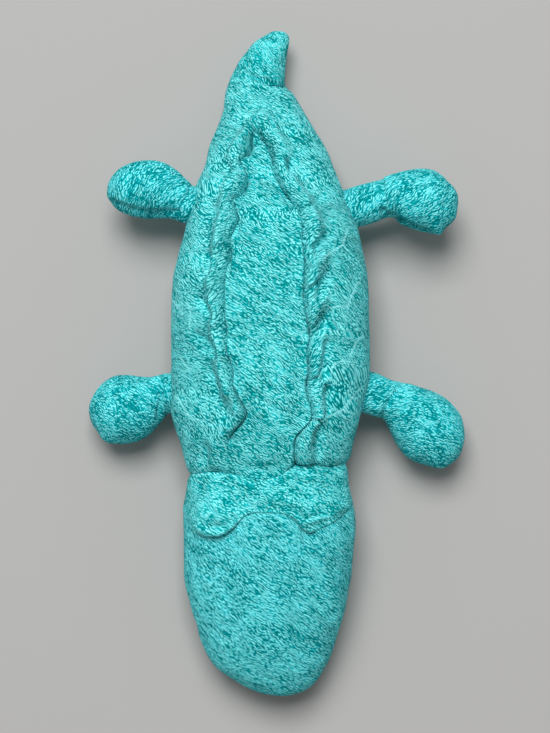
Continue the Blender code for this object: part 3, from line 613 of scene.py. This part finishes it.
class Skin:
    """A grid of points with its outward normals, weave layout and pale threads, which grows at its edges."""

    def __init__(self, points, uv):
        self.points = points
        self.normals = grid_normals(points)
        self.uv = uv
        self.marks = np.zeros((*points.shape[:2], 2))
        self.lean = np.zeros(points.shape[:2])
        self.slant = STITCH_SLANT
        self.turn = 0.0

    def weave(self):
        """The layout in true lengths round the form, with its rows of stitches slanted, bent and turned."""
        gaps = norm(np.diff(self.points, axis=1), axis=-1)
        u = middled(gaps) + self.uv[..., 0].mean(axis=1, keepdims=True)
        bend = middled(gaps * (self.lean[:, 1:] + self.lean[:, :-1]) / 2)
        v = self.uv[..., 1] + self.slant * (u + bend)
        angle = math.radians(self.turn)
        sine, cosine = math.sin(angle), math.cos(angle)
        return np.stack([u * cosine - v * sine, u * sine + v * cosine], axis=-1)

    def widen(self, axis, at_start, layers):
        """Adds rows (axis 0) or columns (axis 1) of points at one edge."""
        layers = np.stack(layers, axis=axis)
        count = layers.shape[axis]
        order = (layers, self.points) if at_start else (self.points, layers)
        self.points = np.concatenate(order, axis=axis)
        pad = [(0, 0), (0, 0)]
        pad[axis] = (count, 0) if at_start else (0, count)
        for name in ("uv", "normals", "marks"):
            setattr(self, name, np.pad(getattr(self, name), (*pad, (0, 0)), mode="edge"))
        self.lean = np.pad(self.lean, pad, mode="edge")

    def edge(self, axis, at_start):
        """An edge's points, and the ways out of the stuffing there, which for rows stay square to Y."""
        index = 0 if at_start else -1
        if axis == 1:
            return self.points[:, index], self.normals[:, index]
        outward = self.normals[index] * (1, 0, 1)
        return self.points[index], outward / norm(outward, axis=-1, keepdims=True)

    def roll(self, axis, at_start, depth, width=SEAM_ROLL):
        """Rolls an edge down into its seam, by a depth for each point of the edge."""
        rim, outward = self.edge(axis, at_start)
        stretch = 0 if axis == 0 else 1
        apart = norm(self.points - np.expand_dims(rim, stretch), axis=-1)
        fall = np.clip(1 - apart / width, 0, 1) ** 2 * np.expand_dims(depth, stretch)
        self.points = self.points - np.expand_dims(outward, stretch) * fall[..., None]

    def allow(self, axis, at_start, depth):
        """Adds a hidden seam allowance that runs straight in from an edge, by one depth or many."""
        rim, outward = self.edge(axis, at_start)
        depth = np.broadcast_to(depth, len(rim))
        steps = [rim - outward * (depth * share)[:, None] for share in (0.5, 1.0)]
        self.widen(axis, at_start, steps[::-1] if at_start else steps)


# Meshes


def cloth(name, skin):
    """A mesh object from a skin, with its weave laid out in metres."""
    points = skin.points
    rows, count = points.shape[:2]
    index = np.arange(rows * count).reshape(rows, count)
    faces = np.stack([index[:-1, :-1], index[1:, :-1], index[1:, 1:], index[:-1, 1:]], axis=-1).reshape(-1, 4)
    data = bpy.data.meshes.new(name)
    data.from_pydata(points.reshape(-1, 3).tolist(), [], faces.tolist())
    layer = data.uv_layers.new(name="Weave")
    flat = skin.weave().reshape(-1, 2)[faces.reshape(-1)]
    layer.data.foreach_set("uv", flat.astype(np.float32).ravel())
    for number, mark in enumerate(("thread_gap", "thread_share")):
        shade = data.attributes.new(mark, "FLOAT", "POINT")
        shade.data.foreach_set("value", skin.marks[..., number].astype(np.float32).ravel())
    mesh = bmesh.new()
    mesh.from_mesh(data)
    bmesh.ops.remove_doubles(mesh, verts=mesh.verts, dist=WELD_DISTANCE)
    mesh.to_mesh(data)
    mesh.free()
    data.shade_smooth()
    made = bpy.data.objects.new(name, data)
    bpy.context.scene.collection.objects.link(made)
    return made


# Materials


class Nodes:
    """Shorthands for building a shader's node tree."""

    def __init__(self, material):
        material.use_nodes = True
        self.tree = material.node_tree
        self.shader = self.tree.nodes["Principled BSDF"]

    def join(self, inputs, node=None):
        """Gives inputs of a node, or of the shader, their values or links."""
        sockets = (node or self.shader).inputs
        for place, value in inputs.items():
            if isinstance(value, (int, float, tuple)):
                sockets[place].default_value = value
            else:
                self.tree.links.new(value, sockets[place])

    def add(self, kind, inputs, **settings):
        node = self.tree.nodes.new("ShaderNode" + kind)
        for name, value in settings.items():
            setattr(node, name, value)
        self.join(inputs, node)
        return node

    def math(self, operation, first, second=0.0, third=0.0, clamp=False):
        inputs = {0: first, 1: second, 2: third}
        return self.add("Math", inputs, operation=operation, use_clamp=clamp).outputs[0]

    def vector(self, x, y, z=0.0):
        return self.add("CombineXYZ", {0: x, 1: y, 2: z}).outputs[0]

    def split(self, vector):
        """The X and Y of a vector."""
        return self.add("SeparateXYZ", {0: vector}).outputs[:2]

    def noise(self, vector, scale, detail):
        inputs = {"Vector": vector, "Scale": scale, "Detail": detail, "Roughness": 0.5}
        return self.add("TexNoise", inputs, noise_dimensions="3D").outputs["Fac"]

    def swing(self, vector, scale, detail=1.0):
        """Noise that swings to either side of zero."""
        return self.math("SUBTRACT", self.noise(vector, scale, detail), 0.5)

    def mark(self, name):
        """A number that the mesh carries at its points."""
        return self.add("Attribute", {}, attribute_name=name).outputs["Fac"]

    def ramp(self, value, stops):
        node = self.add("ValToRGB", {"Fac": value})
        band = node.color_ramp
        while len(band.elements) < len(stops):
            band.elements.new(0.5)
        for element, (place, colour) in zip(band.elements, stops):
            element.position = place
            element.color = (*colour, 1)
        return node.outputs["Color"]


# A stitch: length and height in mm, how far chance moves it, its taper, tilt, thinness and roundness, and how
# far it stands out in metres
STITCH_LENGTH = 1.70
STITCH_HEIGHT = 1.00
STITCH_CHANCE = 0.75
STITCH_TAPER = 1.8
STITCH_TILT = 1.2
STITCH_THINNESS = 2.5
STITCH_ROUNDNESS = 1.9
STITCH_RELIEF = 0.00020

# How far the rows of stitches wander, in mm
SWAY = 3.4
DRIFT = 4.4
TREMOR = 1.7

# The yarn's tone between its stitches and in patches, and how much paler a stitch is
TONE = 0.19
TONE_BLOTCH = 1.55
TONE_WIDE = 1.00
SHINE = 0.66
SHINE_PICK = 1.90
SHINE_PLY = 1.10
SHINE_BLOTCH = 0.70
YARN_DEEP = (0.0003, 0.222, 0.224)
YARN_TEAL = (0.001, 0.34, 0.353)
YARN_AQUA = (0.012, 0.665, 0.718)
YARN_PALE = (0.28, 0.98, 1)
THREAD_PALE = (0.37, 0.98, 1)

# The half width of a pale row of stitches, in pixels
THREAD_WIDTH = 1.35


def cooled(colour, cool):
    """A colour with less red and more blue."""
    return colour[0] * (1 - 5 * cool), colour[1] * (1 - cool / 2), min(colour[2] * (1 + cool), 1.0)


def knit(name, size=1.0, lighten=0.0, contrast=1.0, cool=0.0):
    """Marled jersey knit of yarn plied from teal and pale aqua, whose stitches follow the weave layout."""
    made = bpy.data.materials.new(name)
    made.diffuse_color = (0.06, 0.50, 0.52, 1)
    nodes = Nodes(made)
    calc = nodes.math
    layout = nodes.add("UVMap", {}, uv_map="Weave").outputs["UV"]
    inputs = {"Vector": layout, "Scale": 1000.0 / size}
    weave = nodes.add("VectorMath", inputs, operation="SCALE").outputs[0]
    u, v = nodes.split(weave)
    sway = nodes.swing(weave, 0.11)
    drift = nodes.swing(nodes.vector(v, u, 7.0), 0.07)
    tremor = nodes.swing(weave, 0.40)
    u = calc("MULTIPLY_ADD", sway, SWAY, u)
    v = calc("MULTIPLY_ADD", drift, DRIFT, v)
    v = calc("MULTIPLY_ADD", tremor, TREMOR, v)

    # each stitch is a short rounded stroke in its own cell
    place = nodes.vector(calc("DIVIDE", u, STITCH_LENGTH), calc("DIVIDE", v, STITCH_HEIGHT))
    inputs = {"Vector": place, "Scale": 1.0, "Randomness": STITCH_CHANCE}
    cell = nodes.add("TexVoronoi", inputs, voronoi_dimensions="2D").outputs["Position"]
    chance = nodes.add("TexWhiteNoise", {"Vector": cell}, noise_dimensions="3D").outputs["Value"]
    own = calc("SUBTRACT", chance, 0.5)
    off = nodes.add("VectorMath", {0: place, 1: cell}, operation="SUBTRACT")
    ahead, aside = nodes.split(off.outputs[0])
    along = calc("ABSOLUTE", calc("MULTIPLY", ahead, STITCH_TAPER))
    across = calc("MULTIPLY_ADD", ahead, calc("MULTIPLY", own, STITCH_TILT), aside)
    across = calc("MULTIPLY", across, STITCH_THINNESS)
    round_part = calc("SUBTRACT", 1.0, calc("MULTIPLY", across, across), clamp=True)
    end_part = calc("SUBTRACT", 1.0, calc("POWER", along, 3.0), clamp=True)
    end_part = calc("MULTIPLY_ADD", end_part, 0.9, 0.1)
    body = calc("MULTIPLY", calc("POWER", round_part, STITCH_ROUNDNESS), end_part)

    # the yarn's colour changes along it, from stitch to stitch and in patches
    zigzag = calc("PINGPONG", u, 6.0)
    sloped = calc("MULTIPLY_ADD", u, -0.22, calc("MULTIPLY_ADD", zigzag, 0.30, v))
    blotch = nodes.swing(nodes.vector(calc("MULTIPLY", u, 0.45), sloped, 11.0), 0.30, 2.0)
    wide = nodes.swing(weave, 0.060, 2.0)
    ply = nodes.swing(nodes.vector(calc("MULTIPLY", u, 0.8), v, 5.0), 1.5)
    pick = calc("POWER", calc("ADD", own, 0.5), 2.0)
    shine = calc("MULTIPLY_ADD", pick, SHINE_PICK, SHINE)
    shine = calc("MULTIPLY_ADD", ply, SHINE_PLY, shine)
    shine = calc("MULTIPLY_ADD", blotch, SHINE_BLOTCH, shine)
    tone = calc("MULTIPLY_ADD", blotch, TONE_BLOTCH, TONE + lighten)
    tone = calc("MULTIPLY_ADD", wide, TONE_WIDE, tone)
    tone = calc("MULTIPLY_ADD", calc("MULTIPLY", shine, contrast), body, tone)

    # the pale rows on the flanks are narrow, and stitches show in them too
    gap = calc("MULTIPLY", nodes.mark("thread_gap"), 1 / THREAD_WIDTH)
    pale = calc("SUBTRACT", 1.0, calc("MULTIPLY", gap, gap), clamp=True)
    pale = calc("MULTIPLY", pale, nodes.mark("thread_share"))
    pale = calc("MULTIPLY", pale, calc("MULTIPLY_ADD", body, 0.6, 0.5), clamp=True)
    tone = calc("MULTIPLY_ADD", pale, 0.6, tone, clamp=True)
    stops = [(0.05, YARN_DEEP), (0.34, YARN_TEAL), (0.78, YARN_AQUA), (1.00, YARN_PALE)]
    stops = [(place, cooled(colour, cool)) for place, colour in stops]
    inputs = {0: calc("MULTIPLY", pale, 0.8), 6: nodes.ramp(tone, stops), 7: (*THREAD_PALE, 1)}
    colour = nodes.add("Mix", inputs, data_type="RGBA").outputs[2]
    height = calc("MULTIPLY_ADD", nodes.noise(weave, 3.2, 2.0), 0.30, body)
    bump = nodes.add("Bump", {"Strength": 1.0, "Distance": STITCH_RELIEF * size, "Height": height})
    nodes.join({
        "Base Color": colour, "Normal": bump.outputs["Normal"], "Roughness": 0.95, "Specular IOR Level": 0.03,
        "Sheen Weight": 0.11, "Sheen Roughness": 0.40, "Sheen Tint": (0.35, 0.90, 1.0, 1),
    })
    return made


KNIT = knit("knit_marl", contrast=1.24)
KNIT_CROWN = knit("knit_marl_crown", lighten=0.04, contrast=1.09)
KNIT_HEAD = knit("knit_marl_snout", lighten=0.02, contrast=1.50, cool=0.03)
KNIT_FLANK = knit("knit_marl_flank", contrast=1.46)
KNIT_LEG = knit("knit_marl_leg", lighten=0.02, contrast=1.10, cool=0.03)
# The tail's knit is painted paler: partly the yarn's own tone, partly painted light for the tail end, which
# lies nearer the lamp
KNIT_TAIL_PAINTED_LIGHT = knit("knit_marl_tail_painted_light", size=0.85, lighten=0.12, contrast=0.88)


def dress(name, skin, material):
    """The mesh of a skin as a piece of its material."""
    piece = cloth(name, skin)
    piece.data.materials.append(material)
    return piece


# The forms, and the downs at which panels start and end
BODY = Form(BODY_ROWS)
HEAD = Form(HEAD_ROWS)
TAIL_JOIN = 85
BACK_START = 127
BODY_END = 496
CROWN_END = 560


def shape(skin, strokes, waves=STUFFING_WAVES):
    """Gives a skin the lumps of its stuffing and its sculpted strokes."""
    smooth = skin.points
    for size, height, seed in waves:
        skin.points = skin.points + skin.normals * (lumps(skin.points, size, seed) * height)[..., None]
    moved = skin.points - smooth
    skin.points = sculpt(smooth, skin.normals, strokes) + moved


def seam_depth(skin, table, at_start):
    """How deep a seam is at each row of a skin's edge: a back seam by its table, or the belly seam."""
    down = seen(skin.edge(1, at_start)[0])[1]
    if table is None:
        return SEAM_DEPTH * 0.5 * ease((down - 96) / 30)
    return SEAM_DEPTH * np.maximum(curve_at(table, down, 2), 0) * ease((down - 126) / 8)


def neck_rows(grid):
    """The row of each column that lies on the neck seam, on top and below."""
    share = ease((grid[-1, :, 2] - 0.016) / 0.016)
    return line_rows(grid, NECK_SEAM) * share + line_rows(grid, NECK_UNDER) * (1 - share)


def neck_depth(skin, at_start):
    """How deep the neck seam is at each column of a skin's end."""
    rim = skin.edge(0, at_start)[0]
    share = curve_at(NECK_DEPTH, seen(rim)[0])
    return NECK_SEAM_DEPTH * (0.6 + (share - 0.6) * ease((rim[:, 2] - 0.02) / 0.02))


def cut_skin(grids, start, end, rows):
    """A skin between two rows of each column of a grid, which comes with its layout round and along."""
    points, around, along = between_rows(grids, start, end, rows)
    return Skin(points, np.stack([around, along], axis=-1))


def body_skin(name, hoops, sides, size, crowding, seams, material, slot):
    """A panel of the body, from seam to seam and from the tail to the neck."""
    columns, rows = size
    lengths = spans(*sides, columns, *crowding)
    grid = hoops.lay(lengths)
    around = np.broadcast_to(lengths, grid.shape[:2])
    skin = cut_skin([grid, around, grid[..., 1]], np.zeros(grid.shape[1]), neck_rows(grid), rows)
    skin.marks = thread_marks(skin.points, skin.normals)
    if slot == "knit_pale":
        skin.lean = RIDGE_LEAN * ridge_share(skin.points)
    shape(skin, BACK_STROKES)
    for at_start, table in zip((True, False), seams):
        depth = seam_depth(skin, table, at_start)
        skin.roll(1, at_start, depth)
        skin.allow(1, at_start, np.maximum(depth * 1.4, 0.0006))
    skin.roll(0, False, neck_depth(skin, False), BODY_NECK_ROLL)
    skin.allow(0, False, END_ALLOWANCE)
    return dress(name, skin, material)


def back_seams(hoops):
    """The lengths round hoops of the back seams on the left and on the right of the picture."""
    return [hoops.at_across(curve_at(table, hoops.shown)) for table in (LEFT_SEAM, RIGHT_SEAM)]


hoops = BODY.hoops(FINE, BACK_START, BODY_END)
back = body_skin("back_skin", hoops, back_seams(hoops), BACK_GRID, (0.5, 0.5), (LEFT_SEAM, RIGHT_SEAM),
                 KNIT, "knit")
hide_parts("back_panel", "body_stuffing")
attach(back, "torso")

hoops = BODY.hoops(FINE, TAIL_JOIN, BODY_END)
left, right = back_seams(hoops)
sides = right, hoops.at_turn(BELLY_SEAM)
left_flank = body_skin("left_flank_skin", hoops, sides, FLANK_GRID, (0.6, 0), (RIGHT_SEAM, None),
                       KNIT_FLANK, "knit_pale")
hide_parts("left_flank", "left_ridge")
sides = hoops.at_turn(-BELLY_SEAM), left
right_flank = body_skin("right_flank_skin", hoops, sides, FLANK_GRID, (0, 0.6), (None, LEFT_SEAM),
                        KNIT_FLANK, "knit_pale")
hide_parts("right_flank", "right_ridge")
hoops = BODY.hoops(COARSE, TAIL_JOIN, BODY_END)
sides = hoops.at_turn(BELLY_SEAM), hoops.at_turn(-BELLY_SEAM) + hoops.whole
belly = body_skin("belly_skin", hoops, sides, BELLY_GRID, (0, 0), (None, None), KNIT, "knit")
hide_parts("belly_panel")
for piece in (left_flank, right_flank, belly):
    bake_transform(piece)

# Tail
hoops = BODY.hoops(FINE, None, TAIL_JOIN)
lengths = spans(hoops.round[:, 0], hoops.round[:, -1], TAIL_COLUMNS)
points = hoops.lay(lengths)
points[:, -1] = points[:, 0]
tail_skin = Skin(points, np.stack([lengths, fallen(points)], axis=-1))
tail_skin.slant = TAIL_SLANT
shape(tail_skin, BACK_STROKES)
tail_skin.points[:, -1] = tail_skin.points[:, 0]
tail_skin.allow(0, False, TAIL_ALLOWANCE)
tail = dress("tail_skin", tail_skin, KNIT_TAIL_PAINTED_LIGHT)
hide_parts("tail_cover", "tail_stuffing")
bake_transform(tail)

# Head


def head_grids(hoops, start, end, count):
    """Points between two lengths round each hoop of the head, with their layout round and along."""
    lengths = spans(start, end, count)
    grid = hoops.lay(lengths)
    return grid, np.broadcast_to(lengths, grid.shape[:2]), fallen(grid)


def side_seams(skin, allowance=None):
    """Rolls a head skin's sides into the chin seams, which fade at the tip, and adds their allowances."""
    for at_start in (True, False):
        down = seen(skin.edge(1, at_start)[0])[1]
        depth = SEAM_DEPTH * 0.45 * (1 - ease((down - 650) / 36))
        skin.roll(1, at_start, depth)
        skin.allow(1, at_start, allowance or depth + 0.00001)


# The crown ends in a lip, which curls down to the snout and runs back under itself, by lengths in metres
BROW_ROW = 60
LIP_LEAST = 0.0001
LIP_REACH = 0.0013
LIP_DROP = 0.0014
LIP_CURL = np.radians((18, 36, 54, 72, 90, 110, 130, 150, 180))
LIP_RETURN = (0.0015, 0.004)
hoops = HEAD.hoops(FINE, None, CROWN_END)
columns, rows = CROWN_GRID
grids = head_grids(hoops, hoops.at_turn(-CHIN_SEAM), hoops.at_turn(CHIN_SEAM), columns)
brow = grids[0][BROW_ROW]
folds = 0
for middle, width, power, reach in BROW_FOLDS:
    folds = folds + reach * np.exp(-((seen(brow)[0] - middle) / width) ** power)
lip = (LIP_LEAST + LIP_REACH * folds) * ease((brow[:, 2] - 0.030) / 0.016) + LIP_LEAST
brow_rows = line_rows(grids[0], BROW_LINE, lip / PIXEL * 0.9)
crown_skin = cut_skin(grids, neck_rows(grids[0]), brow_rows, rows)
crown_skin.turn = CROWN_TURN
laid = crown_skin.points
rise = ease((np.linspace(0, 1, rows)[:, None] - 0.45) / 0.5)
crown_skin.points = laid + crown_skin.normals * (2 * lip[None] * rise)[..., None]
shape(crown_skin, HEAD_STROKES)
crown_skin.roll(0, True, neck_depth(crown_skin, True), HEAD_NECK_ROLL)
rim = crown_skin.points[-1]
outward = grid_normals(crown_skin.points)[-1]
half = np.maximum(((rim - laid[-1]) * outward).sum(axis=-1) + LIP_DROP, 2 * lip) / 2
ahead = rim - crown_skin.points[-3]
ahead /= norm(ahead, axis=-1, keepdims=True)
curl = []
for turn in LIP_CURL:
    reach, fall = lip * math.sin(turn), half * (1 - math.cos(turn))
    curl.append(rim + ahead * reach[:, None] - outward * fall[:, None])
for step in LIP_RETURN:
    curl.append(rim - ahead * step - outward * (2 * half + 0.0004)[:, None])
crown_skin.widen(0, False, curl)
crown_skin.uv[-len(curl):, :, 1] -= (np.arange(1, len(curl) + 1) * 0.0007)[:, None]
crown_skin.allow(0, True, END_ALLOWANCE)
side_seams(crown_skin, 0.0012)
crown = dress("crown_skin", crown_skin, KNIT_CROWN)
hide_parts("crown_panel", "left_eye_bump", "right_eye_bump", "head_stuffing")

# The snout starts under the crown, a little lower
SNOUT_LOWER = 0.0010
hoops = HEAD.hoops(FINE)
columns, rows = SNOUT_GRID
grids = head_grids(hoops, hoops.at_turn(-CHIN_SEAM), hoops.at_turn(CHIN_SEAM), columns)
tip = np.full(columns, len(grids[0]) - 1.0)
snout_skin = cut_skin(grids, line_rows(grids[0], BROW_LINE, 20.0), tip, rows)
snout_skin.turn = SNOUT_TURN
across, down = seen(snout_skin.points)
under = 1 - ease((down - curve_at(BROW_LINE, across) + 5) / 7)
shape(snout_skin, SNOUT_STROKES)
snout_skin.points = snout_skin.points - snout_skin.normals * (SNOUT_LOWER * under)[..., None]
side_seams(snout_skin)
snout = dress("snout_skin", snout_skin, KNIT_HEAD)
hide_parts("snout_panel")

hoops = HEAD.hoops(COARSE)
columns, rows = CHIN_GRID
grids = head_grids(hoops, hoops.at_turn(CHIN_SEAM), hoops.at_turn(-CHIN_SEAM) + hoops.whole, columns)
chin_skin = cut_skin(grids, neck_rows(grids[0]), np.full(columns, len(grids[0]) - 1.0), rows)
shape(chin_skin, [])
side_seams(chin_skin)
chin_skin.roll(0, True, neck_depth(chin_skin, True), HEAD_NECK_ROLL)
chin_skin.allow(0, True, END_ALLOWANCE)
chin = dress("chin_skin", chin_skin, KNIT_HEAD)
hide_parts("chin_panel")
for piece in (crown, snout, chin):
    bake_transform(piece)

# Legs


def leg_place(rows, station):
    """The middles of a leg's rings at stations of its table, with their half widths and half heights."""
    across, down, height, wide, tall = curve_through(rows, station).T
    x, y = across_at(across, height / 1000), down_at(down, height / 1000)
    return np.stack([x, y, height / 1000], axis=-1), np.maximum(wide, 0) * PIXEL, np.maximum(tall, 0) / 1000


def leg_skin(rows, strokes, turn, seed):
    """A leg from its root in the body to the tip of its paw, as rings across its path."""
    station = np.linspace(0, len(rows) - 1, 1200)
    centre, wide, tall = leg_place(rows, station)
    steps = np.hypot(norm(np.diff(centre, axis=0), axis=1), np.diff(wide))
    path = summed(steps)
    count = int(path[-1] / FINE)
    station = np.interp(np.linspace(0, path[-1], count), path, station)
    centre, wide, tall = leg_place(rows, station)
    ahead = np.gradient(centre, axis=0)
    ahead[:, 2] = 0
    ahead /= norm(ahead, axis=1, keepdims=True)
    side = np.stack([-ahead[:, 1], ahead[:, 0], np.zeros(count)], axis=-1)
    ring = np.linspace(-math.pi, math.pi, LEG_COLUMNS)
    points = (centre[:, None] + side[:, None] * (wide[:, None] * np.sin(ring))[..., None]
              + np.array([0, 0, 1.0]) * (tall[:, None] * np.cos(ring))[..., None])
    lengths = ring[None] * ((wide + tall) / 2)[:, None]
    along = np.broadcast_to(np.linspace(0, path[-1], count)[:, None], lengths.shape)
    skin = Skin(points, np.stack([lengths, along], axis=-1))
    skin.slant = 0.0
    skin.turn = turn
    shape(skin, strokes, ((0.018, 0.00040, seed), (0.008, 0.00014, seed + 1)))
    skin.points[:, -1] = skin.points[:, 0]
    return skin


for seed, (name, rows) in enumerate(LEG_ROWS.items()):
    body_name = name + "_leg"
    turn, *bend = LEG_WAYS[name]
    skin = leg_skin(rows, LEG_STROKES[name], turn, 20 + seed)
    made = dress(body_name + "_skin", skin, KNIT_LEG)
    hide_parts(body_name + "_cover", body_name + "_stuffing")
    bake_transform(made)

# Floor, light and camera
floor_data = bpy.data.meshes.new("floor")
floor_data.from_pydata([(-3, -3, 0), (3, -3, 0), (3, 3, 0), (-3, 3, 0)], [], [(0, 1, 2, 3)])
floor = bpy.data.objects.new("floor", floor_data)
bpy.context.scene.collection.objects.link(floor)
pale = bpy.data.materials.new("pale_floor")
Nodes(pale).join({"Base Color": (*FLOOR_COLOUR, 1), "Roughness": 0.9, "Specular IOR Level": 0.2})
floor_data.materials.append(pale)

lamp = bpy.data.lights.new("key_light", "AREA")
lamp.shape = "SQUARE"
lamp.size = KEY_SIZE
lamp.energy = KEY_POWER
softbox = bpy.data.objects.new("key_light", lamp)
softbox.location = KEY_SPOT
softbox.rotation_euler = (Vector(KEY_AIM) - Vector(KEY_SPOT)).to_track_quat("-Z", "Y").to_euler()
bpy.context.scene.collection.objects.link(softbox)
world = bpy.data.worlds.new("studio")
bpy.context.scene.world = world
world.use_nodes = True
world.node_tree.nodes["Background"].inputs["Color"].default_value = (*WORLD_COLOUR, 1)
world.node_tree.nodes["Background"].inputs["Strength"].default_value = WORLD_STRENGTH

lens = bpy.data.cameras.new("photo_camera")
lens.sensor_width = SENSOR
lens.lens = SENSOR * CAMERA_DISTANCE / (PICTURE[1] * PIXEL)
lens.clip_start = 0.05
lens.clip_end = 20
camera = bpy.data.objects.new("photo_camera", lens)
camera.location = (*VIEW_CENTRE, OUTLINE_HEIGHT + CAMERA_DISTANCE)
bpy.context.scene.collection.objects.link(camera)
bpy.context.scene.camera = camera
bpy.context.scene.view_settings.view_transform = "Standard"
